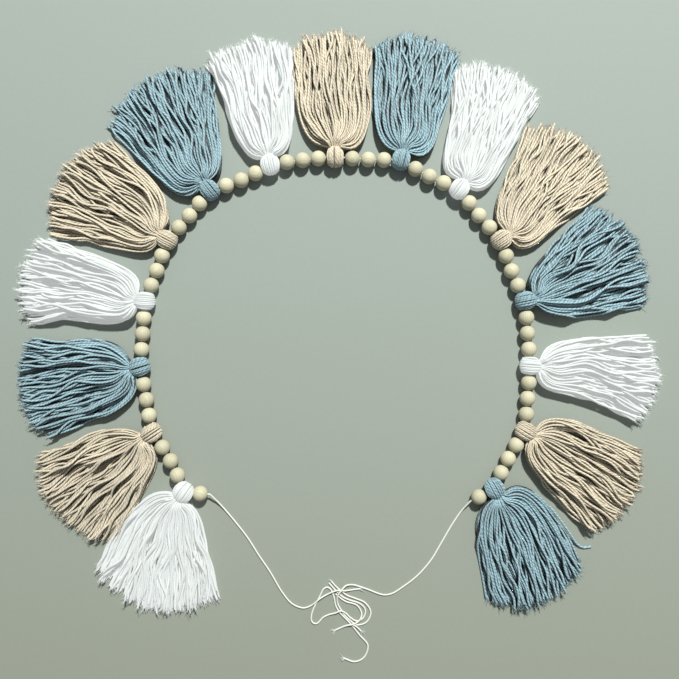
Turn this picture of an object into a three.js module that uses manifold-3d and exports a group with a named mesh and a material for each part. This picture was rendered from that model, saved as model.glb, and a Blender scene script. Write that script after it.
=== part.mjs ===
// Tassel garland: fifteen yarn tassels and forty four wooden beads threaded on one string,
// laid flat in a horseshoe, with the two ends of the string tied in a loose bow below it.
// Millimetres, +Z up. The surface it lies on is z = 0, and the origin is the middle of the garland.

import * as THREE from "three";
import { mergeVertices } from "three/addons/utils/BufferGeometryUtils.js";
import Module from "manifold-3d";

const wasm = await Module();
wasm.setup();

// Driving dimensions

const STRING_RADIUS = 0.9;
const STRING_SIDES = 8;
const RUN_STEP = 20;
const BOW_STEP = 5;

const BEAD_DIAMETER = 15.9;
const BEAD_BORE_RADIUS = 2;
const BEAD_PITCH = 16.3;
const BEAD_SEGMENTS = 8;
const BEAD_ROWS = 4;
const OUTER_BEAD_SWING = 0.75;

const HEAD_ALONG_STRING = 9.0;
const HEAD_OUTWARD = 10.6;
const HEAD_HALF_HEIGHT = 9.5;
const HEAD_SEGMENTS = 8;
const HEAD_ROWS = 6;
const HEAD_BORE_RADIUS = 2.1;
const HEAD_BORE_SIDES = 6;

const NECK_RADIUS = 6.4;
const NECK_START = 5;
const NECK_END = 13.4;
const NECK_HEIGHT = 9;
const NECK_TAPER = 0.85;
const NECK_SIDES = 6;

const FAN_CENTRE = 11;
const FAN_NEAR = 31;
const FAN_FAR = 108;
const FAN_CURVE = 36;
const FAN_WIDEST = 78;
const ROOT_INSIDE_NECK = 1.5;

const STRING_HEIGHT = BEAD_DIAMETER / 2;

// The tassels, one row each, from the lower left end round to the lower right end.
// x and y: middle of the head.
// turn: the way the neck points, in degrees anticlockwise from +X.
// near: the two edges of the fringe 31 mm from the neck, in the same degrees.
// far: the same two edges 108 mm from the neck.
// reach: length of the fringe from the neck.
// bow: how far the next three beads swing outward of a straight row.
// The yarns alternate in the order white, beige, blue.
const YARNS = ["white", "beige", "blue"];
const TASSELS = [
  { x: -160, y: -175, turn: -125, near: [-183, -53], far: [-142, -67], reach: 115, bow: -3.4 },
  { x: -193, y: -114, turn: -146, near: [-196, -73], far: [-171, -106], reach: 117, bow: -0.6 },
  { x: -205, y: -46, turn: -162, near: [-236, -99], far: [-196, -141], reach: 115, bow: -0.2 },
  { x: -200, y: 22, turn: 176, near: [110, 213], far: [144, 192], reach: 118, bow: -0.8 },
  { x: -177, y: 85, turn: 152, near: [76, 200], far: [117, 180], reach: 117, bow: -1.2 },
  { x: -133, y: 136, turn: 128, near: [68, 181], far: [86, 150], reach: 120, bow: -3 },
  { x: -71, y: 162, turn: 101, near: [53, 145], far: [77, 124], reach: 118, bow: 0.8 },
  { x: -4, y: 170, turn: 90, near: [26, 156], far: [71, 113], reach: 115, bow: -1 },
  { x: 64, y: 167, turn: 76, near: [28, 145], far: [59, 106], reach: 117, bow: -2.2 },
  { x: 124, y: 137, turn: 56, near: [19, 112], far: [47, 96], reach: 121, bow: -1.8 },
  { x: 167, y: 85, turn: 35, near: [0, 112], far: [25, 80], reach: 120, bow: -2 },
  { x: 192, y: 22, turn: 12, near: [-32, 84], far: [-4, 59], reach: 118, bow: -0.4 },
  { x: 197, y: -45, turn: -4, near: [-36, 46], far: [-29, 16], reach: 121, bow: -0.4 },
  { x: 192, y: -112, turn: -31, near: [-90, 31], far: [-61, -7], reach: 119, bow: -2 },
  { x: 160, y: -171, turn: -62, near: [-130, 14], far: [-95, -38], reach: 116, bow: 0 },
];

const LEFT_END_BEAD = [-143, -176.5];
const RIGHT_END_BEAD = [144, -180];

// Sections of a lock of fringe, one row for each distance from the neck.
// from and to are heights over the surface, and gap is the space beside the next lock.
const LOWER_LOCK = [
  { distance: "root", from: 4.6, to: 8.4, gap: 0.3 },
  { distance: 16, from: 0, to: 5.2, gap: 0.6 },
  { distance: 44, from: 0, to: 3.7, gap: 0.8 },
  { distance: "tip", from: 0, to: 2.8, gap: 1.3 },
];
const UPPER_LOCK = [
  { distance: "root", from: 8.9, to: 13.4, gap: 0.3 },
  { distance: 24, from: 5.5, to: 10.4, gap: 0.8 },
  { distance: "tip", from: 3.3, to: 6, gap: 1.8 },
];
const LOWER_COUNT = 10;
const UPPER_COUNT = 7;
const UPPER_INSET = 0.06;
const LOWER_ROOT_SPREAD = 4.4;
const UPPER_ROOT_SPREAD = 3.7;
const ROUNDED_ENDS = 0.07;
const RAGGED = [0, -3, 1.5, -1, 3, -2, 0.5, -4, 2, -0.5, 1];
const RAGGED_STEP = 3;
const RAGGED_SHIFT = 4;

// The string past the left end bead: down to the surface, over the bow's left loop and its middle,
// to a short blunt end on the right. Columns: x, y, height of the middle.
// BOW_START is the number of the first point in the bow, counted from 0.
const LEFT_BOW_START = 8;
const LEFT_STRING = [
  [-133, -177.5, 7.4],
  [-123, -189.5, 2.2],
  [-110, -205, 0.9],
  [-95.5, -223.5, 0.9],
  [-83, -243, 0.9],
  [-71.5, -260, 0.9],
  [-59, -281, 0.9],
  [-48.5, -293, 0.9],
  [-37, -297.2, 0.9],
  [-29.1, -294.7, 1],
  [-24.4, -290.9, 2.2],
  [-19.7, -286.8, 2.7],
  [-14.6, -283.9, 1.9],
  [-10.4, -281.8, 1.9],
  [-6.2, -279.8, 2.6],
  [-2.1, -278.5, 2.7],
  [2.1, -278.7, 2.7],
  [6.2, -278.8, 2.3],
  [13.5, -278.3, 0.9],
  [21.8, -277.2, 0.9],
];

// The string past the right end bead: down to the surface, over the middle of the bow,
// round its right outer loop and back under its middle to an end at the upper left.
const RIGHT_BOW_START = 9;
const RIGHT_STRING = [
  [135.5, -184.5, 7.4],
  [127, -196, 2.2],
  [116.5, -212, 0.9],
  [106, -230, 0.9],
  [95.5, -247.5, 0.9],
  [81, -264, 0.9],
  [66, -275.5, 0.9],
  [55.5, -282, 0.9],
  [46.5, -283.5, 0.9],
  [27.5, -277, 0.9],
  [14, -273, 1.2],
  [7.2, -273.6, 2.4],
  [2.1, -278.3, 4.4],
  [-1.7, -285.2, 2.6],
  [-1.5, -292, 1],
  [2.1, -299.1, 0.9],
  [6.1, -305, 0.9],
  [11.6, -310.2, 0.9],
  [18.7, -314.7, 0.9],
  [28.6, -311.8, 0.9],
  [33, -301.4, 0.9],
  [27, -291.8, 0.9],
  [17.7, -287.5, 0.9],
  [8.8, -284.2, 0.9],
  [2.6, -279.8, 0.9],
  [-2.6, -275.4, 0.9],
  [-7.8, -269.7, 0.9],
];

// A second length that ties the bow: from the upper left through its middle, round the right
// inner loop, round the left loop, and out at the bottom as a long curled tail.
const TAIL_STRING = [
  [-10.4, -271.2, 0.9],
  [-5.2, -277.1, 0.9],
  [-1.1, -281.4, 0.9],
  [4.1, -285.8, 0.9],
  [10.4, -288.7, 0.9],
  [21.8, -292.7, 0.9],
  [26.8, -297.7, 0.9],
  [27.2, -303.1, 0.9],
  [24.3, -308.3, 0.9],
  [18.7, -310.8, 0.9],
  [11.8, -307.2, 0.9],
  [7.3, -302.6, 1.7],
  [2.1, -299.7, 2.6],
  [-3.7, -302.1, 1.8],
  [-11.5, -304.5, 0.9],
  [-16.7, -307.2, 0.9],
  [-20.4, -311.2, 0.9],
  [-22.9, -313.3, 0.9],
  [-26.2, -313.2, 0.9],
  [-28.5, -310.8, 0.9],
  [-28.9, -306.6, 0.9],
  [-27.7, -301, 0.9],
  [-25, -294.7, 0.9],
  [-21.9, -288.9, 0.9],
  [-18.7, -282.3, 0.9],
  [-16, -277.4, 0.9],
  [-12.3, -275.7, 0.9],
  [-9, -277.4, 0.9],
  [-6.7, -281.7, 0.9],
  [-4.6, -288.9, 0.9],
  [-3.6, -294.1, 0.9],
  [-0.4, -300.4, 0.9],
  [12.5, -314.2, 0.9],
  [21.5, -325.5, 0.9],
  [30, -336, 0.9],
  [26, -348.5, 0.9],
  [16.5, -353, 0.9],
  [5, -349.5, 0.9],
];

// A third length: from the upper left through the middle of the bow, close inside the right
// inner loop, to a blunt end on the lower left.
const MIDDLE_STRING = [
  [-3.6, -282.5, 0.9],
  [3.1, -288.1, 0.9],
  [7.8, -290.8, 0.9],
  [13.5, -292.3, 0.9],
  [18.2, -294.1, 0.9],
  [21.8, -298.3, 0.9],
  [23.5, -303.3, 1.4],
  [22.2, -307.8, 2.6],
  [18.9, -311.5, 2.7],
  [14.1, -313.6, 2.7],
  [7.3, -315.3, 1.6],
  [1, -318.1, 0.9],
  [-4.4, -320.5, 0.9],
];

// A short frayed end that leaves it again towards the lower right.
const SHORT_STRING = [
  [14.1, -313.6, 2.7],
  [18.2, -316.4, 1.9],
  [22.9, -321.2, 0.9],
];

const LOOKS = {
  white: { color: 0xf0eee8, roughness: 0.95, metalness: 0 },
  beige: { color: 0xd8ccb4, roughness: 0.95, metalness: 0 },
  blue: { color: 0xa3bbc4, roughness: 0.95, metalness: 0 },
  wood: { color: 0xe8d9b6, roughness: 0.7, metalness: 0 },
  string: { color: 0xf2f1ea, roughness: 0.9, metalness: 0 },
};

// Helpers

const SAME_POINT = 1e-4;
const CURVE_SAMPLES = 600;

function material(look) {
  return new THREE.MeshStandardMaterial(look);
}

function radians(degrees) {
  return THREE.MathUtils.degToRad(degrees);
}

function toSolid(geometry) {
  const bare = geometry.clone();
  bare.deleteAttribute("normal");
  bare.deleteAttribute("uv");
  const merged = mergeVertices(bare, SAME_POINT);
  return new wasm.Manifold(new wasm.Mesh({
    numProp: 3,
    vertProperties: new Float32Array(merged.attributes.position.array),
    triVerts: new Uint32Array(merged.index.array),
  }));
}

function toGeometry(solid) {
  const mesh = solid.getMesh();
  const geometry = new THREE.BufferGeometry();
  geometry.setAttribute("position", new THREE.BufferAttribute(new Float32Array(mesh.vertProperties), 3));
  geometry.setIndex(new THREE.BufferAttribute(new Uint32Array(mesh.triVerts), 1));
  geometry.computeVertexNormals();
  return geometry;
}

// Joins rings of points, each with the same number of points, into one closed skin.
// Seen along the row of rings, the points of a ring run anticlockwise.
function loft(rings) {
  const sides = rings[0].length;
  const points = rings.flat();
  const faces = [];
  for (let row = 0; row < rings.length - 1; row += 1) {
    for (let side = 0; side < sides; side += 1) {
      const a = row * sides + side;
      const b = row * sides + ((side + 1) % sides);
      faces.push(a, a + sides, b);
      faces.push(b, a + sides, b + sides);
    }
  }
  const last = (rings.length - 1) * sides;
  for (let side = 1; side < sides - 1; side += 1) {
    faces.push(0, side, side + 1);
    faces.push(last, last + side + 1, last + side);
  }
  const geometry = new THREE.BufferGeometry();
  geometry.setFromPoints(points);
  geometry.setIndex(faces);
  return geometry;
}

// A round bar along a row of points. Its rings stay upright, so a flat of it never rolls.
function bar(path, radius, sides) {
  const up = new THREE.Vector3(0, 0, 1);
  const rings = path.map((point, i) => {
    const before = path[Math.max(i - 1, 0)];
    const after = path[Math.min(i + 1, path.length - 1)];
    const along = after.clone().sub(before).normalize();
    const across = along.clone().cross(up).normalize();
    const over = across.clone().cross(along);
    const ring = [];
    for (let side = 0; side < sides; side += 1) {
      const turn = (side / sides) * 2 * Math.PI;
      ring.push(point.clone()
        .addScaledVector(across, -radius * Math.sin(turn))
        .addScaledVector(over, radius * Math.cos(turn)));
    }
    return ring;
  });
  return loft(rings);
}

// Points spaced evenly along a smooth line through the given ones.
function smooth(points, spacing) {
  const curve = new THREE.CatmullRomCurve3(points, false, "centripetal");
  curve.arcLengthDivisions = CURVE_SAMPLES;
  const spaced = curve.getSpacedPoints(Math.round(curve.getLength() / spacing));
  for (const point of spaced) {
    point.z = Math.max(point.z, STRING_RADIUS);
  }
  return spaced;
}

function vectors(rows) {
  return rows.map(([x, y, z]) => new THREE.Vector3(x, y, z));
}

// The threaded line: the middle of every head and bead, in order

const threaded = [];

function thread(kind, x, y) {
  threaded.push({ kind, at: new THREE.Vector3(x, y, STRING_HEIGHT) });
}

thread("bead", ...LEFT_END_BEAD);
TASSELS.forEach((tassel, i) => {
  thread("head", tassel.x, tassel.y);
  const next = TASSELS[i + 1];
  if (next) {
    const along = new THREE.Vector2(next.x - tassel.x, next.y - tassel.y);
    const middle = new THREE.Vector2(next.x + tassel.x, next.y + tassel.y).multiplyScalar(0.5);
    along.normalize();
    for (const place of [-1, 0, 1]) {
      const swing = tassel.bow * (place === 0 ? 1 : OUTER_BEAD_SWING);
      const x = middle.x + along.x * BEAD_PITCH * place - along.y * swing;
      const y = middle.y + along.y * BEAD_PITCH * place + along.x * swing;
      thread("bead", x, y);
    }
  }
});
thread("bead", ...RIGHT_END_BEAD);

const leftPath = vectors(LEFT_STRING);
const rightPath = vectors(RIGHT_STRING);
const line = [leftPath[0], ...threaded.map((item) => item.at), rightPath[0]];
threaded.forEach((item, i) => {
  item.along = line[i + 2].clone().sub(line[i]).setZ(0).normalize();
});

// String: one solid, threaded through everything and tied below

// An end of the string, with longer steps on its way to the bow than inside it
function makeEnd(path, bowStart) {
  const way = smooth(path.slice(0, bowStart + 1), RUN_STEP);
  const inBow = smooth(path.slice(bowStart), BOW_STEP);
  return way.concat(inBow.slice(1));
}

function makeString() {
  const left = makeEnd(leftPath, LEFT_BOW_START).reverse();
  const right = makeEnd(rightPath, RIGHT_BOW_START);
  const runs = [[...left, ...threaded.map((item) => item.at), ...right]];
  for (const loose of [TAIL_STRING, MIDDLE_STRING, SHORT_STRING]) {
    runs.push(smooth(vectors(loose), BOW_STEP));
  }
  let solid = null;
  for (const run of runs) {
    const piece = toSolid(bar(run, STRING_RADIUS, STRING_SIDES));
    solid = solid ? solid.add(piece) : piece;
  }
  return toGeometry(solid);
}

// Bead: a ball with a bore, turned about the string

function makeBead() {
  const radius = BEAD_DIAMETER / 2;
  const profile = [];
  const first = Math.asin(BEAD_BORE_RADIUS / radius);
  for (let i = 0; i <= BEAD_ROWS; i += 1) {
    const turn = first + ((Math.PI - 2 * first) * i) / BEAD_ROWS;
    profile.push(new THREE.Vector2(radius * Math.sin(turn), -radius * Math.cos(turn)));
  }
  profile.push(profile[0].clone());
  return new THREE.LatheGeometry(profile, BEAD_SEGMENTS);
}

// One lock of fringe. The tassel's own frame has +X along its neck.
function makeLock(layer, share, tassel, reach) {
  const edge = (near, far, distance) => {
    const swing = (near - far) / (Math.exp(-FAN_NEAR / FAN_CURVE) - Math.exp(-FAN_FAR / FAN_CURVE));
    const settled = far - swing * Math.exp(-FAN_FAR / FAN_CURVE);
    const open = settled + swing * Math.exp(-distance / FAN_CURVE) - tassel.turn;
    return THREE.MathUtils.clamp(open, -FAN_WIDEST, FAN_WIDEST);
  };
  const rings = layer.sections.map((section) => {
    let middle = null;
    let across = null;
    let width = 0;
    if (section.distance === "root") {
      const spread = layer.spread * 2;
      middle = new THREE.Vector3(FAN_CENTRE - ROOT_INSIDE_NECK, (share - 0.5) * spread, 0);
      across = new THREE.Vector3(0, 1, 0);
      width = spread / layer.count - section.gap;
    } else {
      const distance = section.distance === "tip" ? reach : section.distance;
      const low = edge(tassel.near[0], tassel.far[0], distance);
      const high = edge(tassel.near[1], tassel.far[1], distance);
      const fan = (high - low) * (1 - 2 * layer.inset);
      const angle = radians(low + (high - low) * layer.inset + fan * share);
      middle = new THREE.Vector3(FAN_CENTRE + distance * Math.cos(angle), distance * Math.sin(angle), 0);
      across = new THREE.Vector3(-Math.sin(angle), Math.cos(angle), 0);
      width = (radians(fan) * distance) / layer.count - section.gap;
    }
    const corner = (side, height) => {
      const point = middle.clone().addScaledVector(across, (side * width) / 2);
      point.z = height;
      return point;
    };
    return [corner(-1, section.from), corner(0, section.to), corner(1, section.from)];
  });
  return loft(rings);
}

// Tassel: a ball of yarn, a neck and its locks, one solid
function makeTassel(tassel, order, place) {
  const ball = new THREE.SphereGeometry(1, HEAD_SEGMENTS, HEAD_ROWS);
  ball.rotateX(Math.PI / 2);
  ball.scale(HEAD_OUTWARD, HEAD_ALONG_STRING, HEAD_HALF_HEIGHT);
  ball.translate(0, 0, HEAD_HALF_HEIGHT);

  const neckLength = NECK_END - NECK_START;
  const neck = new THREE.CylinderGeometry(NECK_RADIUS, NECK_RADIUS * NECK_TAPER, neckLength, NECK_SIDES);
  neck.rotateZ(-Math.PI / 2);
  neck.translate((NECK_START + NECK_END) / 2, 0, NECK_HEIGHT);

  let solid = toSolid(ball).add(toSolid(neck));
  const layers = [
    { sections: LOWER_LOCK, count: LOWER_COUNT, inset: 0, spread: LOWER_ROOT_SPREAD },
    { sections: UPPER_LOCK, count: UPPER_COUNT, inset: UPPER_INSET, spread: UPPER_ROOT_SPREAD },
  ];
  for (const layer of layers) {
    for (let i = 0; i < layer.count; i += 1) {
      const share = (i + 0.5) / layer.count;
      const rounded = 1 - ROUNDED_ENDS * (2 * share - 1) ** 2;
      const ragged = RAGGED[(i * RAGGED_STEP + order * RAGGED_SHIFT + layer.count) % RAGGED.length];
      const reach = tassel.reach * rounded + ragged;
      const lock = makeLock(layer, share, tassel, reach);
      solid = solid.add(toSolid(lock));
    }
  }

  // The string's way through the head, bent as the string is there.
  const turn = radians(-tassel.turn);
  const inside = [-1, 0, 1].map((step) => {
    const point = threaded[place + step].at.clone().sub(new THREE.Vector3(tassel.x, tassel.y, 0));
    return point.applyAxisAngle(new THREE.Vector3(0, 0, 1), turn);
  });
  const tunnel = bar(inside, HEAD_BORE_RADIUS, HEAD_BORE_SIDES);
  solid = solid.subtract(toSolid(tunnel));
  return toGeometry(solid);
}

// The garland

const garland = new THREE.Group();
garland.name = "tassel_garland";

const beadGeometry = makeBead();
let beadNumber = 0;
let tasselNumber = 0;
threaded.forEach((item, place) => {
  let mesh = null;
  if (item.kind === "bead") {
    beadNumber += 1;
    mesh = new THREE.Mesh(beadGeometry, material(LOOKS.wood));
    mesh.name = `bead_${String(beadNumber).padStart(2, "0")}`;
    mesh.position.copy(item.at);
    mesh.rotation.z = Math.atan2(item.along.y, item.along.x) - Math.PI / 2;
  } else {
    const tassel = TASSELS[tasselNumber];
    const look = LOOKS[YARNS[tasselNumber % YARNS.length]];
    tasselNumber += 1;
    mesh = new THREE.Mesh(makeTassel(tassel, tasselNumber, place), material(look));
    mesh.name = `tassel_${String(tasselNumber).padStart(2, "0")}`;
    mesh.position.set(tassel.x, tassel.y, 0);
    mesh.rotation.z = radians(tassel.turn);
  }
  garland.add(mesh);
});

const string = new THREE.Mesh(makeString(), material(LOOKS.string));
string.name = "string";
garland.add(string);

export default garland;
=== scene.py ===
import math

import bpy
import numpy as np
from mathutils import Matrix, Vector


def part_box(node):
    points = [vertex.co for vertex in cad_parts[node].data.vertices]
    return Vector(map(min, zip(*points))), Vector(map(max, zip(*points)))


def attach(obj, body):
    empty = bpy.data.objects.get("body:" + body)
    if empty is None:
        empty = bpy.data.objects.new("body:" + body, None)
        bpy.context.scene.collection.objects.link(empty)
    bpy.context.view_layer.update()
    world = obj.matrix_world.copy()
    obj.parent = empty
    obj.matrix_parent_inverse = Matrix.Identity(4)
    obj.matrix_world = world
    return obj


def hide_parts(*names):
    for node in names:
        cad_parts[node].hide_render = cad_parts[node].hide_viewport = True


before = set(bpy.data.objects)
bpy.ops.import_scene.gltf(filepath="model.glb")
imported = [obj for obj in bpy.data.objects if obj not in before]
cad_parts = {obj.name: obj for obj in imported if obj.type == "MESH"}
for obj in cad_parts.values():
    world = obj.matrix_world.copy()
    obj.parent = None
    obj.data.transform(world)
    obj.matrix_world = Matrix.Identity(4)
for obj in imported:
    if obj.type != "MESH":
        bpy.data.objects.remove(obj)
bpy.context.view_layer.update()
MM = 0.001


# The surface, the light and the camera.
# The garland lies on a plain pale grey green table top, painted with a faint mottle and with a
# painted shade that darkens and warms it towards its bottom edge, where the lamp's light falls off.
# It is seen from straight above, lit from beyond its top edge and a little from the right, with a
# pale fill.

TABLE_SIZE = 6.0
TABLE_COLOUR = (0.240, 0.268, 0.246)
TABLE_MOTTLE = 0.03
# Painted shade on the table top: its tint is full at the first Y, in metres, and gone at the second.
FALLOFF_SHADE_SPAN = (-0.36, 0.1)
FALLOFF_SHADE_TINT = (1.0, 0.955, 0.87, 1)
CAMERA_PLACE = (0.0005, -0.0179, 0.708)
VIEW_WIDTH_AT_BEADS = 0.6994
BEAD_MIDDLE_HEIGHT = 0.008
SENSOR_MM = 36
LIGHT_TRAVEL = (-0.16, -0.62, -0.77)
LIGHT_DISTANCE = 3.4
LIGHT_DIAMETER = 0.24
LIGHT_WATTS = 211
LIGHT_COLOUR = (0.97, 1.0, 0.96)
FILL_STRENGTH = 0.29
FILL_COLOUR = (0.93, 1.0, 1.0, 1)


def new_material(name, roughness):
    """A material with its shader node, ready for the nodes that give it its colour and relief."""
    material = bpy.data.materials.new(name)
    material.use_nodes = True
    shader = material.node_tree.nodes["Principled BSDF"]
    shader.inputs["Roughness"].default_value = roughness
    return material, shader


def used(sockets, name):
    """The socket of that name that the node uses as it is set, or the one with that number."""
    if name[0] == "i" and name[1:].isdigit():
        return sockets[int(name[1:])]
    label = name.replace("_", " ")
    return next(socket for socket in sockets if socket.name == label and socket.enabled)


def add_node(tree, kind, settings=None, **inputs):
    """One node. settings are its own properties, and inputs are socket names with values or links."""
    node = tree.nodes.new(kind)
    for key, value in (settings or {}).items():
        setattr(node, key, value)
    for key, value in inputs.items():
        socket = used(node.inputs, key)
        if isinstance(value, bpy.types.NodeSocket):
            tree.links.new(value, socket)
        else:
            socket.default_value = value
    return node


def mixed_colour(tree, first, second, factor=1.0, blend="MULTIPLY"):
    """Two colours multiplied, or blended in another way. Each value may be a link."""
    settings = {"data_type": "RGBA", "blend_type": blend}
    node = add_node(tree, "ShaderNodeMix", settings, Factor=factor, A=first, B=second)
    return used(node.outputs, "Result")


def ranged(tree, value, **limits):
    """A value carried from one range to another, each from 0 to 1 where no limit is given."""
    return add_node(tree, "ShaderNodeMapRange", Value=value, **limits).outputs["Result"]


table_mesh = bpy.data.meshes.new("table_top")
half = TABLE_SIZE / 2
corners = [(-half, -half, 0), (half, -half, 0), (half, half, 0), (-half, half, 0)]
table_mesh.from_pydata(corners, [], [(0, 1, 2, 3)])
table_top = bpy.data.objects.new("table_top", table_mesh)
bpy.context.collection.objects.link(table_top)
table_paint, shader = new_material("table_paint", 0.85)
tree = table_paint.node_tree
place = add_node(tree, "ShaderNodeTexCoord")
mottle = add_node(tree, "ShaderNodeTexNoise", Vector=place.outputs["Object"], Scale=260.0, Detail=3.0)
darker, lighter = (
    tuple(share * part for part in TABLE_COLOUR) + (1,)
    for share in (1 - TABLE_MOTTLE, 1 + TABLE_MOTTLE)
)
tint = mixed_colour(tree, darker, lighter, mottle.outputs["Fac"], "MIX")
split = add_node(tree, "ShaderNodeSeparateXYZ", Vector=place.outputs["Object"])
# Painted shade: towards the bottom edge the table's colour is multiplied by a darker, warmer tint.
farther = ranged(tree, split.outputs["Y"], From_Min=FALLOFF_SHADE_SPAN[0], From_Max=FALLOFF_SHADE_SPAN[1])
falloff_shade = mixed_colour(tree, FALLOFF_SHADE_TINT, (1, 1, 1, 1), farther, "MIX")
tree.links.new(mixed_colour(tree, tint, falloff_shade), shader.inputs["Base Color"])
table_mesh.materials.append(table_paint)

camera_data = bpy.data.cameras.new("camera")
camera_data.sensor_width = SENSOR_MM
camera_data.lens = SENSOR_MM * (CAMERA_PLACE[2] - BEAD_MIDDLE_HEIGHT) / VIEW_WIDTH_AT_BEADS
camera = bpy.data.objects.new("camera", camera_data)
camera.location = CAMERA_PLACE
bpy.context.collection.objects.link(camera)
bpy.context.scene.camera = camera

key_data = bpy.data.lights.new("key_light", "AREA")
key_data.shape = "DISK"
key_data.size = LIGHT_DIAMETER
key_data.energy = LIGHT_WATTS
key_data.color = LIGHT_COLOUR
key = bpy.data.objects.new("key_light", key_data)
key.location = -Vector(LIGHT_TRAVEL).normalized() * LIGHT_DISTANCE
key.rotation_euler = Vector(LIGHT_TRAVEL).to_track_quat("-Z", "Y").to_euler()
bpy.context.collection.objects.link(key)

world = bpy.data.worlds.new("fill_light")
world.use_nodes = True
background = world.node_tree.nodes["Background"]
background.inputs["Color"].default_value = FILL_COLOUR
background.inputs["Strength"].default_value = FILL_STRENGTH
bpy.context.scene.world = world
bpy.context.scene.view_settings.view_transform = "Standard"


# The string's free ends.
# A thin white cotton string of three plies. Its two ends leave the end beads, run down over the
# surface and are tied in a loose bow, with two short ends and a long curled tail at the knot.

STRING_DIAMETER = 1.8 * MM
STRING_PLIES = 3
STRING_LAY = 5.5 * MM
STRING_STEP = 0.7 * MM
STRING_SIDES = 12
SMOOTHING_STEPS = 40
STRING_MEAN = 0.95
PLY_BULGE = 0.08
PLY_GROOVE_SHADE = 0.74
STRING_COLOUR = (0.72, 0.71, 0.66, 1)

LEFT_STRING = [
    (-133, -177.5, 7.4),
    (-123, -189.5, 2.2),
    (-110, -205, 0.9),
    (-95.5, -223.5, 0.9),
    (-83, -243, 0.9),
    (-71.5, -260, 0.9),
    (-59, -281, 0.9),
    (-48.5, -293, 0.9),
    (-37, -297.2, 0.9),
    (-29.1, -294.7, 1),
    (-24.4, -290.9, 2.2),
    (-19.7, -286.8, 2.7),
    (-14.6, -283.9, 1.9),
    (-10.4, -281.8, 1.9),
    (-6.2, -279.8, 2.6),
    (-2.1, -278.5, 2.7),
    (2.1, -278.7, 2.7),
    (6.2, -278.8, 2.3),
    (13.5, -278.3, 0.9),
    (21.8, -277.2, 0.9),
]
RIGHT_STRING = [
    (135.5, -184.5, 7.4),
    (127, -196, 2.2),
    (116.5, -212, 0.9),
    (106, -230, 0.9),
    (95.5, -247.5, 0.9),
    (81, -264, 0.9),
    (66, -275.5, 0.9),
    (55.5, -282, 0.9),
    (46.5, -283.5, 0.9),
    (27.5, -277, 0.9),
    (14, -273, 1.2),
    (7.2, -273.6, 2.4),
    (2.1, -278.3, 4.4),
    (-1.7, -285.2, 2.6),
    (-1.5, -292, 1),
    (2.1, -299.1, 0.9),
    (6.1, -305, 0.9),
    (11.6, -310.2, 0.9),
    (18.7, -314.7, 0.9),
    (28.6, -311.8, 0.9),
    (33, -301.4, 0.9),
    (27, -291.8, 0.9),
    (17.7, -287.5, 0.9),
    (8.8, -284.2, 0.9),
    (2.6, -279.8, 0.9),
    (-2.6, -275.4, 0.9),
    (-7.8, -269.7, 0.9),
]
TAIL_STRING = [
    (-10.4, -271.2, 0.9),
    (-5.2, -277.1, 0.9),
    (-1.1, -281.4, 0.9),
    (4.1, -285.8, 0.9),
    (10.4, -288.7, 0.9),
    (21.8, -292.7, 0.9),
    (26.8, -297.7, 0.9),
    (27.2, -303.1, 0.9),
    (24.3, -308.3, 0.9),
    (18.7, -310.8, 0.9),
    (11.8, -307.2, 0.9),
    (7.3, -302.6, 1.7),
    (2.1, -299.7, 2.6),
    (-3.7, -302.1, 1.8),
    (-11.5, -304.5, 0.9),
    (-16.7, -307.2, 0.9),
    (-20.4, -311.2, 0.9),
    (-22.9, -313.3, 0.9),
    (-26.2, -313.2, 0.9),
    (-28.5, -310.8, 0.9),
    (-28.9, -306.6, 0.9),
    (-27.7, -301, 0.9),
    (-25, -294.7, 0.9),
    (-21.9, -288.9, 0.9),
    (-18.7, -282.3, 0.9),
    (-16, -277.4, 0.9),
    (-12.3, -275.7, 0.9),
    (-9, -277.4, 0.9),
    (-6.7, -281.7, 0.9),
    (-4.6, -288.9, 0.9),
    (-3.6, -294.1, 0.9),
    (-0.4, -300.4, 0.9),
    (12.5, -314.2, 0.9),
    (21.5, -325.5, 0.9),
    (30, -336, 0.9),
    (26, -348.5, 0.9),
    (16.5, -353, 0.9),
    (5, -349.5, 0.9),
]
MIDDLE_STRING = [
    (-3.6, -282.5, 0.9),
    (3.1, -288.1, 0.9),
    (7.8, -290.8, 0.9),
    (13.5, -292.3, 0.9),
    (18.2, -294.1, 0.9),
    (21.8, -298.3, 0.9),
    (23.5, -303.3, 1.4),
    (22.2, -307.8, 2.6),
    (18.9, -311.5, 2.7),
    (14.1, -313.6, 2.7),
    (7.3, -315.3, 1.6),
    (1, -318.1, 0.9),
    (-4.4, -320.5, 0.9),
]
SHORT_STRING = [
    (14.1, -313.6, 2.7),
    (18.2, -316.4, 1.9),
    (22.9, -321.2, 0.9),
]


def steps_along(line):
    """The length of a line up to each of its points."""
    return np.concatenate([[0], np.cumsum(np.linalg.norm(np.diff(line, axis=0), axis=1))])


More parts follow.
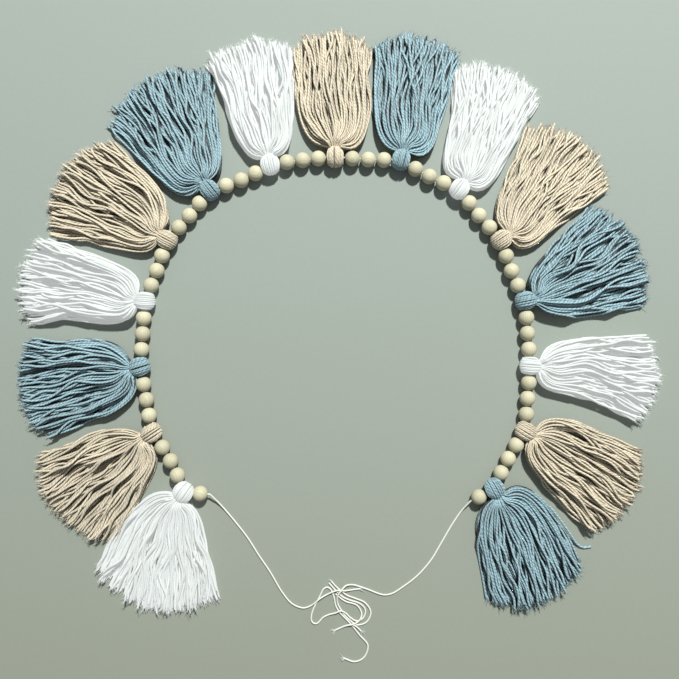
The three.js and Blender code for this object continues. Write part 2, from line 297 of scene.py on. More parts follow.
def smooth_line(points, step):
    """Points every step along a smooth line through the given ones, and never under the surface."""
    p = np.array(points, float)
    p = np.vstack([2 * p[0] - p[1], p, 2 * p[-1] - p[-2]])
    knots = np.concatenate([[0], np.cumsum(np.sqrt(np.linalg.norm(np.diff(p, axis=0), axis=1)))])
    dense = []
    for i in range(1, len(p) - 2):
        t = np.linspace(knots[i], knots[i + 1], SMOOTHING_STEPS, endpoint=False)[:, None]
        k0, k1, k2, k3 = knots[i - 1 : i + 3]
        a1 = (k1 - t) / (k1 - k0) * p[i - 1] + (t - k0) / (k1 - k0) * p[i]
        a2 = (k2 - t) / (k2 - k1) * p[i] + (t - k1) / (k2 - k1) * p[i + 1]
        a3 = (k3 - t) / (k3 - k2) * p[i + 1] + (t - k2) / (k3 - k2) * p[i + 2]
        b1 = (k2 - t) / (k2 - k0) * a1 + (t - k0) / (k2 - k0) * a2
        b2 = (k3 - t) / (k3 - k1) * a2 + (t - k1) / (k3 - k1) * a3
        dense.append((k2 - t) / (k2 - k1) * b1 + (t - k1) / (k2 - k1) * b2)
    dense = np.vstack(dense + [p[-2]])
    dense[:, 2] = np.maximum(dense[:, 2], STRING_DIAMETER / 2)
    run = steps_along(dense)
    even = np.linspace(0, run[-1], max(2, round(run[-1] / step)) + 1)
    return np.column_stack([np.interp(even, run, dense[:, k]) for k in range(3)])


def carried_frames(points):
    """Two directions square to the line at each point, carried along it without twist."""
    along = np.gradient(points, axis=0)
    along /= np.linalg.norm(along, axis=1)[:, None]
    side = np.cross(along[0], (0, 0, 1))
    side /= np.linalg.norm(side)
    sides = [side]
    for direction in along[1:]:
        side = side - direction * side.dot(direction)
        side = side / np.linalg.norm(side)
        sides.append(side)
    sides = np.array(sides)
    return sides, np.cross(sides, along)


def plied_string(name, points):
    """The string along a line: a tube whose section has one lobe for each ply and turns with the lay."""
    sides, ups = carried_frames(points)
    run = steps_along(points)
    angle = np.arange(STRING_SIDES) / STRING_SIDES * 2 * math.pi
    vertices = []
    for place, side, up, reached in zip(points, sides, ups, run):
        turn = reached / STRING_LAY * 2 * math.pi
        radius = STRING_DIAMETER / 2 * (STRING_MEAN + PLY_BULGE * np.cos(STRING_PLIES * (angle - turn)))
        ring = place + np.outer(radius * np.cos(angle), side) + np.outer(radius * np.sin(angle), up)
        vertices.append(ring)
    vertices = np.vstack(vertices)
    vertices[:, 2] = np.maximum(vertices[:, 2], 0)
    n = STRING_SIDES
    faces = []
    for row in range(len(points) - 1):
        for k in range(n):
            a = row * n + k
            b = row * n + (k + 1) % n
            faces.append((a, a + n, b + n, b))
    faces.append(tuple(range(n)))
    faces.append(tuple(reversed(range((len(points) - 1) * n, len(points) * n))))
    mesh = bpy.data.meshes.new(name)
    mesh.from_pydata(vertices.tolist(), [], faces)
    mesh.polygons.foreach_set("use_smooth", [True] * (len(faces) - 2) + [False] * 2)
    lobe = np.array([STRING_PLIES * (angle - r / STRING_LAY * 2 * math.pi) for r in run])
    mesh.attributes.new("lobe", "FLOAT", "POINT").data.foreach_set("value", np.cos(lobe).ravel())
    piece = bpy.data.objects.new(name, mesh)
    bpy.context.collection.objects.link(piece)
    return piece


def attribute(tree, name, output="Fac"):
    """A value that the mesh carries at each point, read in a material."""
    return add_node(tree, "ShaderNodeAttribute", {"attribute_name": name}).outputs[output]


def make_string_material():
    """White cotton with painted shade, darker in the grooves between the plies, and a fine fuzz in its
    relief.
    """
    material, shader = new_material("white_string", 0.9)
    tree = material.node_tree
    place = add_node(tree, "ShaderNodeTexCoord")
    fuzz = add_node(tree, "ShaderNodeTexNoise", Vector=place.outputs["Object"], Scale=2600.0, Detail=2.0)
    # Painted shade: the colour darkens in the grooves between the plies, where shade falls.
    groove_shade = ranged(tree, attribute(tree, "lobe"), From_Min=-1.0, To_Min=PLY_GROOVE_SHADE)
    tree.links.new(mixed_colour(tree, STRING_COLOUR, groove_shade), shader.inputs["Base Color"])
    relief = add_node(tree, "ShaderNodeBump", Height=fuzz.outputs["Fac"], Strength=0.35, Distance=0.0002)
    tree.links.new(relief.outputs["Normal"], shader.inputs["Normal"])
    shader.inputs["Sheen Weight"].default_value = 0.25
    return material


string_material = make_string_material()


def add_string(name, points):
    """One length of string along a line, as a piece of the string."""
    piece = plied_string(name, points)
    piece.data.materials.append(string_material)
    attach(piece, "root")
    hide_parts("string")
    return piece


for name, route in (
    ("string_left_end", LEFT_STRING),
    ("string_right_end", RIGHT_STRING),
    ("string_tail", TAIL_STRING),
    ("string_middle_end", MIDDLE_STRING),
):
    points = smooth_line(np.array(route) * MM, STRING_STEP)
    piece = add_string(name, points)
add_string("string_short_end", smooth_line(np.array(SHORT_STRING) * MM, STRING_STEP))


# The beads.
# Round beads of plain pale wood, turned and sanded but not varnished, threaded on the string
# with the grain running along the bore. They sit where the frame has them.

BEAD_DIAMETER = 15.9 * MM
BEAD_BORE = 4.0 * MM
BEAD_COUNT = 44
BEAD_SEGMENTS = 28
BEAD_ROWS = 15
BEAD_AXIS = 1e-6
BEAD_SPIN_SEED = 4
BEAD_TONE_SEED = 7
BEAD_TONES = (0.88, 1.04)
BEAD_PALE = (0.53, 0.502, 0.378, 1)
BEAD_DEEP = (0.415, 0.372, 0.25, 1)


def maths(tree, operation, *values):
    """The result of one sum, named as its node names it. Each value may be a link."""
    inputs = {f"i{index}": value for index, value in enumerate(values)}
    return add_node(tree, "ShaderNodeMath", {"operation": operation}, **inputs).outputs[0]


def stored(group, geometry, name, value, kind="FLOAT", domain="POINT"):
    """The geometry with a value kept on it under a name, for its material to read."""
    settings = {"data_type": kind, "domain": domain}
    keep = add_node(group, "GeometryNodeStoreNamedAttribute", settings, Name=name, Value=value)
    group.links.new(geometry, keep.inputs["Geometry"])
    return keep.outputs["Geometry"]


def read_back(group, name, kind="FLOAT"):
    """A value that the mesh carries at each point, read in a Geometry Nodes tree."""
    node = add_node(group, "GeometryNodeInputNamedAttribute", {"data_type": kind}, Name=name)
    return used(node.outputs, "Attribute")


def new_geometry_tree(name, sockets):
    """An empty Geometry Nodes tree with a geometry in and out and the named inputs."""
    group = bpy.data.node_groups.new(name, "GeometryNodeTree")
    group.interface.new_socket("Geometry", in_out="INPUT", socket_type="NodeSocketGeometry")
    for label, kind, value in sockets:
        socket = group.interface.new_socket(label, in_out="INPUT", socket_type=kind)
        if value is not None:
            socket.default_value = value
    group.interface.new_socket("Geometry", in_out="OUTPUT", socket_type="NodeSocketGeometry")
    return group, group.nodes.new("NodeGroupInput"), group.nodes.new("NodeGroupOutput")


def end_tree(group, geometry, given, made):
    """Ends a tree: its instances are made real and take the material."""
    real = add_node(group, "GeometryNodeRealizeInstances", Geometry=geometry)
    painted = add_node(group, "GeometryNodeSetMaterial", Geometry=real.outputs["Geometry"])
    group.links.new(given.outputs["Material"], painted.inputs["Material"])
    group.links.new(painted.outputs["Geometry"], made.inputs["Geometry"])


def run_tree(group, mesh, name, values):
    """Runs a tree on a mesh and returns a plain object with the result."""
    carrier = bpy.data.objects.new(name, mesh)
    bpy.context.collection.objects.link(carrier)
    modifier = carrier.modifiers.new("shape", "NODES")
    modifier.node_group = group
    for item in group.interface.items_tree:
        if item.item_type == "SOCKET" and item.in_out == "INPUT" and item.name in values:
            modifier[item.identifier] = values[item.name]
    graph = bpy.context.evaluated_depsgraph_get()
    result = bpy.data.meshes.new_from_object(carrier.evaluated_get(graph))
    result.name = name
    carrier.modifiers.clear()
    for index in reversed(range(len(result.materials))):
        if result.materials[index] is None:
            result.materials.pop(index=index)
    carrier.data = result
    bpy.data.meshes.remove(mesh)
    return carrier


def bead_tree():
    """Beads on points: a closed profile swept round the bore, each with its own turn and tone."""
    group, given, made = new_geometry_tree(
        "threaded_beads",
        [
            ("Diameter", "NodeSocketFloat", BEAD_DIAMETER),
            ("Bore", "NodeSocketFloat", BEAD_BORE),
            ("Segments", "NodeSocketInt", BEAD_SEGMENTS),
            ("Rows", "NodeSocketInt", BEAD_ROWS),
            ("Seed", "NodeSocketInt", BEAD_SPIN_SEED),
            ("Material", "NodeSocketMaterial", None),
        ],
    )
    diameter = given.outputs["Diameter"]
    radius = maths(group, "MULTIPLY", diameter, 0.5)
    mouth = maths(group, "ARCSINE", maths(group, "DIVIDE", given.outputs["Bore"], diameter))
    arc = add_node(group, "GeometryNodeCurveArc", Resolution=given.outputs["Rows"])
    group.links.new(radius, arc.inputs["Radius"])
    group.links.new(maths(group, "ADD", mouth, -math.pi / 2), arc.inputs["Start Angle"])
    sweep = maths(group, "SUBTRACT", math.pi, maths(group, "MULTIPLY", mouth, 2.0))
    group.links.new(sweep, arc.inputs["Sweep Angle"])
    closed = add_node(group, "GeometryNodeSetSplineCyclic", Geometry=arc.outputs["Curve"], Cyclic=True)
    path = add_node(group, "GeometryNodeCurvePrimitiveCircle", Radius=BEAD_AXIS)
    group.links.new(given.outputs["Segments"], path.inputs["Resolution"])
    body = add_node(group, "GeometryNodeCurveToMesh", Curve=path.outputs["Curve"])
    group.links.new(closed.outputs[0], body.inputs["Profile Curve"])
    place = add_node(group, "GeometryNodeInputPosition")
    bead = stored(group, body.outputs["Mesh"], "in_bead", place.outputs["Position"], "FLOAT_VECTOR")
    placed = add_node(group, "GeometryNodeInstanceOnPoints", Points=given.outputs["Geometry"])
    group.links.new(bead, placed.inputs["Instance"])
    group.links.new(read_back(group, "turn", "FLOAT_VECTOR"), placed.inputs["Rotation"])
    spin = add_node(group, "FunctionNodeRandomValue", {"data_type": "FLOAT"}, Max=2 * math.pi)
    group.links.new(given.outputs["Seed"], spin.inputs["Seed"])
    about = add_node(group, "ShaderNodeCombineXYZ", Z=used(spin.outputs, "Value"))
    spun = add_node(group, "GeometryNodeRotateInstances", Instances=placed.outputs["Instances"])
    group.links.new(about.outputs[0], spun.inputs["Rotation"])
    chosen = add_node(group, "FunctionNodeRandomValue", {"data_type": "FLOAT"}, Seed=BEAD_TONE_SEED)
    tone = used(chosen.outputs, "Value")
    toned = stored(group, spun.outputs["Instances"], "tone", tone, domain="INSTANCE")
    end_tree(group, toned, given, made)
    return group


def make_bead_material():
    """Pale raw wood: rings that show as soft streaks along the bore and as ovals at the sides."""
    material, shader = new_material("pale_bead_wood", 0.62)
    tree = material.node_tree
    tone = attribute(tree, "tone")
    offset = add_node(tree, "ShaderNodeCombineXYZ", X=maths(tree, "MULTIPLY", tone, 0.35), Y=0.003)
    moved = add_node(tree, "ShaderNodeVectorMath", {"operation": "ADD"}, i1=offset.outputs[0])
    tree.links.new(attribute(tree, "in_bead", "Vector"), moved.inputs[0])
    rings = add_node(
        tree,
        "ShaderNodeTexWave",
        {"wave_type": "RINGS", "rings_direction": "Z"},
        Vector=moved.outputs["Vector"],
        Scale=150,
        Distortion=3,
        Detail=2,
        Detail_Scale=1.4,
    )
    stretch = add_node(tree, "ShaderNodeMapping", Vector=moved.outputs["Vector"], Scale=(2600, 2600, 260))
    fibre = add_node(tree, "ShaderNodeTexNoise", Vector=stretch.outputs["Vector"], Scale=1.0, Detail=2.0)
    half_fibre = maths(tree, "MULTIPLY", fibre.outputs["Fac"], 0.5)
    streaks = maths(tree, "MULTIPLY_ADD", rings.outputs["Fac"], 0.45, half_fibre)
    grain = mixed_colour(tree, BEAD_PALE, BEAD_DEEP, streaks, "MIX")
    own_tone = ranged(tree, tone, To_Min=BEAD_TONES[0], To_Max=BEAD_TONES[1])
    tree.links.new(mixed_colour(tree, grain, own_tone), shader.inputs["Base Color"])
    relief = add_node(tree, "ShaderNodeBump", Height=streaks, Strength=0.25, Distance=0.0002)
    tree.links.new(relief.outputs["Normal"], shader.inputs["Normal"])
    shader.inputs["Specular IOR Level"].default_value = 0.35
    return material


def node_middle(name):
    """The middle of a node's box in the frame."""
    low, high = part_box(name)
    return (np.array(low) + np.array(high)) / 2


bead_names = [f"bead_{number:02d}" for number in range(1, BEAD_COUNT + 1)]
bead_middles = np.array([node_middle(name) for name in bead_names])


# The threaded run.
# Here the string goes through the beads and the tassels' heads, with three beads between each two
# heads. A row has a head's middle in mm, the way its neck points in degrees, the fringe's edges
# 21, 31 and 108 mm from the neck in the same degrees, and the fringe's reach in mm.

TASSELS = [
    {"head": (-160, -175), "turn": -125,
     "close": (-199, -35), "near": (-183, -53), "far": (-142, -67), "reach": 115},
    {"head": (-193, -114), "turn": -146,
     "close": (-204, -49), "near": (-196, -73), "far": (-171, -106), "reach": 117},
    {"head": (-205, -46), "turn": -162,
     "close": (-247, -76), "near": (-236, -99), "far": (-196, -141), "reach": 115},
    {"head": (-200, 22), "turn": 176,
     "close": (87, 246), "near": (110, 213), "far": (144, 192), "reach": 118},
    {"head": (-177, 85), "turn": 152,
     "close": (61, 226), "near": (76, 200), "far": (117, 180), "reach": 117},
    {"head": (-133, 136), "turn": 128,
     "close": (42, 226), "near": (68, 181), "far": (86, 150), "reach": 120},
    {"head": (-71, 162), "turn": 101,
     "close": (24, 174), "near": (53, 145), "far": (77, 124), "reach": 118},
    {"head": (-4, 170), "turn": 90,
     "close": (0, 163), "near": (26, 156), "far": (71, 113), "reach": 115},
    {"head": (64, 167), "turn": 76,
     "close": (-24, 160), "near": (28, 145), "far": (59, 106), "reach": 117},
    {"head": (124, 137), "turn": 56,
     "close": (-19, 157), "near": (19, 112), "far": (47, 96), "reach": 121},
    {"head": (167, 85), "turn": 35,
     "close": (-38, 129), "near": (0, 112), "far": (25, 80), "reach": 120},
    {"head": (192, 22), "turn": 12,
     "close": (-44, 103), "near": (-32, 84), "far": (-4, 59), "reach": 118},
    {"head": (197, -45), "turn": -4,
     "close": (-76, 61), "near": (-36, 46), "far": (-29, 16), "reach": 121},
    {"head": (192, -112), "turn": -31,
     "close": (-113, 49), "near": (-90, 31), "far": (-61, -7), "reach": 119},
    {"head": (160, -171), "turn": -62,
     "close": (-142, 31), "near": (-130, 14), "far": (-95, -38), "reach": 116},
]
YARNS = ("white", "beige", "blue")
BEADS_BETWEEN = 3
BEAD_EDGE_ANGLE = 50

threaded = [bead_middles[0]]
for number, tassel in enumerate(TASSELS):
    threaded.append(np.array([*tassel["head"], bead_middles[0][2] / MM]) * MM)
    first = 1 + number * BEADS_BETWEEN
    threaded.extend(bead_middles[first : first + BEADS_BETWEEN])
threaded = np.array(threaded)
string_line = np.vstack([np.array(LEFT_STRING[0]) * MM, threaded, np.array(RIGHT_STRING[0]) * MM])
add_string("string_run", smooth_line(string_line, 2 * STRING_STEP))

is_bead = np.array([np.any(np.all(bead_middles == place, axis=1)) for place in threaded])
directions = (string_line[2:] - string_line[:-2])[is_bead]
bead_points = bpy.data.meshes.new("bead_points")
bead_points.from_pydata(threaded[is_bead].tolist(), [], [])
turns = [Vector((d[0], d[1], 0)).to_track_quat("Z", "Y").to_euler() for d in directions]
turn_values = bead_points.attributes.new("turn", "FLOAT_VECTOR", "POINT").data
turn_values.foreach_set("vector", np.ravel(turns))
beads = run_tree(bead_tree(), bead_points, "beads", {"Material": make_bead_material()})
beads.data.set_sharp_from_angle(angle=math.radians(BEAD_EDGE_ANGLE))
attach(beads, "root")
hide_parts(*bead_names)


# The tassels' yarn.
# A soft twisted yarn about 2.2 mm thick, in a bright off white, an oatmeal beige and a dusty
# light blue. One tree turns every line of yarn, on the heads and in the fringes, into a strand.

YARN_SIDES = 5
YARN_TWIST = 8.0 * MM
TWIST_DRIFT = 2.5
RIDGE_WIDTH = 0.8
STRAND_TONES = (0.88, 1.08)
YARN_COLOURS = {
    "white": (0.38, 0.393, 0.389, 1),
    "beige": (0.63, 0.543, 0.415, 1),
    "blue": (0.29, 0.43, 0.49, 1),
}
# Painted shade and light: a look's first value darkens the twist's grooves and its second the strands
# that others cover; its third is an emission, painted light that lifts the white yarn's shaded parts,
# whose own colour is set low to match.
YARN_LOOKS = {
    "white": {"groove_shade": 0.93, "most_shade": 1.0, "painted_glow": 0.80, "relief": 0.25},
    "beige": {"groove_shade": 0.54, "most_shade": 0.50, "painted_glow": 0.0, "relief": 0.5},
    "blue": {"groove_shade": 0.33, "most_shade": 0.05, "painted_glow": 0.0, "relief": 0.5},
}


def yarn_tree():
    """Strands from lines, whose points carry thick, the radius, and reached, the length so far."""
    group, given, made = new_geometry_tree(
        "yarn_strands",
        [("Sides", "NodeSocketInt", YARN_SIDES), ("Material", "NodeSocketMaterial", None)],
    )
    lines = add_node(group, "GeometryNodeMeshToCurve", Mesh=given.outputs["Geometry"])
    section = add_node(group, "GeometryNodeCurvePrimitiveCircle", Radius=1.0)
    group.links.new(given.outputs["Sides"], section.inputs["Resolution"])
    place = add_node(group, "GeometryNodeInputPosition")
    around = stored(group, section.outputs["Curve"], "around", place.outputs["Position"], "FLOAT_VECTOR")
    strand = add_node(group, "GeometryNodeCurveToMesh", Curve=lines.outputs["Curve"], Fill_Caps=True)
    group.links.new(read_back(group, "thick"), strand.inputs["Scale"])
    group.links.new(around, strand.inputs["Profile Curve"])
    soft = add_node(group, "GeometryNodeSetShadeSmooth", Geometry=strand.outputs["Mesh"])
    end_tree(group, soft.outputs["Geometry"], given, made)
    return group


def make_yarn_material(yarn):
    """Twisted yarn: painted shade in its slanting grooves and on strands that others cover, a tone for
    each strand, and painted light from an emission that only the white yarn turns on.
    """
    look = YARN_LOOKS[yarn]
    material, shader = new_material(f"{yarn}_yarn", 0.95)
    tree = material.node_tree
    place = add_node(tree, "ShaderNodeTexCoord")
    split = add_node(tree, "ShaderNodeSeparateXYZ", Vector=attribute(tree, "around", "Vector"))
    angle = maths(tree, "ARCTAN2", split.outputs["Y"], split.outputs["X"])
    phase = maths(tree, "MULTIPLY", attribute(tree, "reached"), 2 * math.pi / YARN_TWIST)
    uneven = add_node(tree, "ShaderNodeTexNoise", Vector=place.outputs["Object"], Scale=130.0, Detail=1.0)
    turned = maths(tree, "ADD", angle, phase)
    drifted = maths(tree, "MULTIPLY_ADD", uneven.outputs["Fac"], 2 * TWIST_DRIFT, turned)
    ridge = maths(tree, "ABSOLUTE", maths(tree, "SINE", drifted))
    # Painted shade: the colour darkens in the twist's grooves, where shade falls between the plies.
    groove_shade = ranged(tree, ridge, From_Max=RIDGE_WIDTH, To_Min=look["groove_shade"])
    own = ranged(tree, attribute(tree, "tone"), To_Min=STRAND_TONES[0], To_Max=STRAND_TONES[1])
    # Painted shade: strands that others cover are darkened, down to this share of their colour.
    shading = ranged(tree, attribute(tree, "buried"), To_Min=1.0, To_Max=look["most_shade"])
    shade = maths(tree, "MULTIPLY", maths(tree, "MULTIPLY", groove_shade, own), shading)
    tree.links.new(mixed_colour(tree, YARN_COLOURS[yarn], shade), shader.inputs["Base Color"])
    fuzz = add_node(tree, "ShaderNodeTexNoise", Vector=place.outputs["Object"], Scale=1500.0, Detail=3.0)
    height = maths(tree, "MULTIPLY_ADD", fuzz.outputs["Fac"], 0.5, ridge)
    relief = add_node(tree, "ShaderNodeBump", Height=height, Distance=0.0003, Strength=look["relief"])
    tree.links.new(relief.outputs["Normal"], shader.inputs["Normal"])
    # Painted light: an emission in the yarn's own colour, which only the white yarn turns on, brightens
    # its shaded parts as if light bounced between its strands.
    shader.inputs["Emission Color"].default_value = YARN_COLOURS[yarn]
    shader.inputs["Emission Strength"].default_value = look["painted_glow"]
    shader.inputs["Sheen Weight"].default_value = 0.3
    shader.inputs["Sheen Roughness"].default_value = 0.5
    return material


strand_tree = yarn_tree()
yarn_materials = {yarn: make_yarn_material(yarn) for yarn in YARNS}


def strands_from_lines(name, lines, radii, buried, yarn, seed, sides=YARN_SIDES):
    """One object of strands along lines in metres, with the radius and the painted shade at each point.
    """
    edges = []
    start = 0
    for line in lines:
        index = np.arange(start, start + len(line))
        edges.append(np.column_stack([index[:-1], index[1:]]))
        start += len(line)
    mesh = bpy.data.meshes.new(name)
    mesh.from_pydata(np.vstack(lines).tolist(), np.vstack(edges).tolist(), [])
    chance = np.random.default_rng(seed)
    reached = [steps_along(line) + chance.uniform(0, YARN_TWIST) for line in lines]
    tones = [np.full(len(line), chance.uniform(0, 1)) for line in lines]
    for label, values in (("thick", radii), ("reached", reached), ("tone", tones), ("buried", buried)):
        carried = mesh.attributes.new(label, "FLOAT", "POINT").data
        carried.foreach_set("value", np.concatenate(values))
    return run_tree(strand_tree, mesh, name, {"Sides": sides, "Material": yarn_materials[yarn]})


def tassel_to_garland(tassel, points):
    """From the tassel's own frame, +X along its neck, in millimetres, to the garland's, in metres."""
    turn = math.radians(tassel["turn"])
    x = tassel["head"][0] + points[..., 0] * math.cos(turn) - points[..., 1] * math.sin(turn)
    y = tassel["head"][1] + points[..., 0] * math.sin(turn) + points[..., 1] * math.cos(turn)
    return np.stack([x, y, points[..., 2]], axis=-1) * MM


# The heads.
# The bundle of yarn is folded over the string and drawn in below it, so each head is a ball of
# yarn that runs from the neck over the top, round the inner side and back under to the neck.

HEAD_ALONG_STRING = 9.9
HEAD_OUTWARD = 11.2
HEAD_HALF_HEIGHT = 9.5
HEAD_TURNS = 11
HEAD_STEPS = 40
HEAD_YARN = 1.05
HEAD_SIDES = 8
HEAD_WIDEST_LEAN = 74
HEAD_DRAWN_IN_AT_NECK = 0.25
HEAD_DRAWN_IN_AT_BACK = 0.12
HEAD_END_LENGTH = 0.48
HEAD_END_ROUNDING = 0.65
# Painted shade: the head's turns are darkened a little, and the core inside them strongly, as shade.
HEAD_SHADE = 0.15
CORE_SHADE = 0.9
CORE_INSET = 1.7
CORE_LOWEST = 0.2
CORE_ROWS = 12
CORE_COLUMNS = 20


def head_lines(chance):
    """The turns of yarn over one head, in the tassel's own frame, with their radii."""
    lines = []
    radii = []
    theta = np.linspace(0, 2 * math.pi, HEAD_STEPS + 1)
    at_neck = np.clip(np.cos(theta), 0, 1) ** 2
    at_back = np.clip(-np.cos(theta), 0, 1) ** 2
    gather = 1 - HEAD_DRAWN_IN_AT_NECK * at_neck - HEAD_DRAWN_IN_AT_BACK * at_back
    for k in range(HEAD_TURNS):
        share = (k + 0.5) / HEAD_TURNS * 2 - 1
        lean = math.radians(HEAD_WIDEST_LEAN * share) + chance.normal(0, 0.035)
        drift = chance.normal(0, 0.05)
        depth = chance.uniform(-0.25, 0.1)
        width = math.cos(lean)
        inner = HEAD_YARN * 0.7 - depth
        length = HEAD_END_LENGTH + (1 - HEAD_END_LENGTH) * width
        x = (HEAD_OUTWARD - inner) * np.cos(theta) * length
        y = (HEAD_ALONG_STRING - inner) * (math.sin(lean) + drift * np.sin(theta)) * gather
        rise = (HEAD_HALF_HEIGHT - inner) * np.sin(theta) * width ** HEAD_END_ROUNDING
        z = np.maximum(HEAD_HALF_HEIGHT + rise, HEAD_YARN)
        lines.append(np.column_stack([x, y, z]))
        radii.append(np.full(len(theta), HEAD_YARN * chance.uniform(0.92, 1.06)))
    return lines, radii


def head_core(name, tassel, yarn):
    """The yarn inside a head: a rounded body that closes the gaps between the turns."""
    vertices = [(0, 0, -1)]
    for i in range(1, CORE_ROWS):
        lift = -math.pi / 2 + math.pi * i / CORE_ROWS
        for k in range(CORE_COLUMNS):
            way = 2 * math.pi * k / CORE_COLUMNS
            ring = (math.cos(lift) * math.cos(way), math.cos(lift) * math.sin(way), math.sin(lift))
            vertices.append(ring)
    vertices.append((0, 0, 1))
    n = CORE_COLUMNS
    top = len(vertices) - 1
    faces = [(0, 1 + (k + 1) % n, 1 + k) for k in range(n)]
    for i in range(CORE_ROWS - 2):
        for k in range(n):
            a = 1 + i * n + k
            b = 1 + i * n + (k + 1) % n
            faces.append((a, b, b + n, a + n))
    faces.extend((top, top - n + k, top - n + (k + 1) % n) for k in range(n))
    half_sizes = np.array([HEAD_OUTWARD, HEAD_ALONG_STRING, HEAD_HALF_HEIGHT]) - CORE_INSET
    points = np.array(vertices) * half_sizes + (0, 0, HEAD_HALF_HEIGHT)
    points[:, 2] = np.maximum(points[:, 2], CORE_LOWEST)
    mesh = bpy.data.meshes.new(name)
    mesh.from_pydata(tassel_to_garland(tassel, points).tolist(), [], faces)
    mesh.polygons.foreach_set("use_smooth", [True] * len(faces))
    # Painted shade: the core is darkened, so the gaps between the turns look dark.
    shade = mesh.attributes.new("buried", "FLOAT", "POINT").data
    shade.foreach_set("value", [CORE_SHADE] * len(points))
    mesh.materials.append(yarn_materials[yarn])
    piece = bpy.data.objects.new(name, mesh)
    bpy.context.collection.objects.link(piece)
    return piece


# The fringes.
# The cut ends of the same yarn. They leave the neck in a tight bundle, spring out in a fan and
# lie down on the surface in a loose heap: wavy, in locks, with some strands across the others.

FAN_CENTRE = 10.0
FAN_CLOSE = 21.0
FAN_NEAR = 31.0
FAN_FAR = 108.0
FAN_CURVE = 36.0
FAN_WIDEST = 105.0
SHOULDER_FADE = 12.0
SHOULDER_EASING = 4
STRANDS = 136
UNDER_STRANDS = 60
STATIONS = np.concatenate([[8.5, 12.0, 16.0, 20.5], np.linspace(25, 134, 24)])
STRAND_RADIUS = 1.2
STRAND_SWELLS = ((8, 20, 40), (0.85, 1.0, STRAND_RADIUS))
STRAND_SPREAD = (0.92, 1.08)
TIP_SHARE = 0.85
LENGTH_SPREAD = 2.8
END_ROUNDING = 0.07
LOCKS = 10
LOCK_SWAY = 3.0
LOCK_SWAY_SPACING = 34
LOCK_DRAWN_IN = 0.15
LOCK_DRAWN_SPACING = 40
WAVES = ((75, 1.7), (44, 0.75), (27, 0.28), (16, 0.1))
UNDER_WAVES = 0.35
WAVES_START = 12
WAVES_FULL_AFTER = 40
CROSSING_SHARE = 0.26
CROSSING_SLOPE = 0.13
CROSSING_MOST = 11.0
CROSSING_STARTS = (15, 75)
EDGE_LEEWAY = 1.0
SOFTNESS = 0.86
SLIP_MOST = 1.4
SLIP_TRIES = 7
SLIP_COST = 0.3
SLIP_SHARPNESS = 0.5
SLIP_EASING = 6
HEIGHT_EASING = 8
NECK_HEIGHT = 9.0
NECK_BUNDLE = 7.4
NECK_YARN = 0.80
NECK_STEPS = 4
ROOT_INSET = 2.0
ROOT_SPREAD = 3.4
ROOT_CROWN = 0.6
FALL_START = 6
FALL_RUN = 46
BURIED_DEPTH = 2.7
FRAYS = 4
FRAY_LENGTH = (2.5, 5.5)
FRAY_ROOT = 1.2
FRAY_RADIUS = 0.24
FRAY_TAPER = np.array([1.0, 1.0, 0.8, 0.5])
FRAY_SIDES = 3
STRAY_STEP = 4.0
STRAY_STRAND = [
    (216.8, -189.6, 8.0),
    (229.2, -205.1, 7.0),
    (239.6, -219.7, 5.0),
    (246.9, -230.0, 2.5),
    (254.1, -234.2, 1.3),
    (262.4, -233.2, 1.3),
]


def eased(values):
    """The values with each inner one drawn towards the mean of its neighbours."""
    soft = values.copy()
    soft[1:-1] = 0.25 * values[:-2] + 0.5 * values[1:-1] + 0.25 * values[2:]
    return soft


def fan_edge(tassel, side):
    """Angle of one edge of the fringe at each station, from the neck's direction, in radians."""
    close, near, far = (tassel[place][side] - tassel["turn"] for place in ("close", "near", "far"))
    swing = (near - far) / (math.exp(-FAN_NEAR / FAN_CURVE) - math.exp(-FAN_FAR / FAN_CURVE))
    settled = far - swing * math.exp(-FAN_FAR / FAN_CURVE)
    shoulder = close - settled - swing * math.exp(-FAN_CLOSE / FAN_CURVE)
    angle = settled + swing * np.exp(-STATIONS / FAN_CURVE)
    angle = angle + shoulder * np.exp((FAN_CLOSE - STATIONS) / SHOULDER_FADE)
    angle = np.clip(angle, -FAN_WIDEST, FAN_WIDEST)
    for _ in range(SHOULDER_EASING):
        angle = eased(angle)
    return np.radians(angle)


def smooth_noise(chance, spacing):
    """A random value between about -1 and 1 at each station, changing smoothly over spacing."""
    knots = np.arange(STATIONS[0] - spacing, STATIONS[-1] + 2 * spacing, spacing)
    values = chance.normal(0, 0.7, len(knots))
    place = (STATIONS - knots[0]) / spacing
    index = np.floor(place).astype(int)
    part = place - index
    part = part * part * (3 - 2 * part)
    return values[index] * (1 - part) + values[index + 1] * part


def heap_height(side, radius, sides, heights, radii):
    """How high the heap holds a strand up at each station."""
    gap = np.abs(sides - side)
    touch = SOFTNESS * (radii + radius)
    lift = heights + np.sqrt(np.clip(touch ** 2 - gap ** 2, 0, None))
    return np.maximum(np.where(gap < touch, lift, 0).max(axis=0), radius)


def drop(side, free, radius, sides, heights, radii):
    """Lays one strand on the heap: it slips into the nearest hollow and bridges from top to top."""
    held = radius.copy()
    if len(sides):
        offsets = np.linspace(-SLIP_MOST, SLIP_MOST, SLIP_TRIES)
        tried = np.array([heap_height(side + o, radius, sides, heights, radii) for o in offsets])
        weight = np.exp(-(tried + SLIP_COST * np.abs(offsets)[:, None]) / SLIP_SHARPNESS)
        slip = (weight * offsets[:, None]).sum(axis=0) / weight.sum(axis=0)
        for _ in range(SLIP_EASING):
            slip = eased(slip)
        side = side + slip
        held = heap_height(side, radius, sides, heights, radii)
    height = np.maximum(held, free)
    for _ in range(HEIGHT_EASING):
        height = np.maximum(held, eased(height))
    return side, height


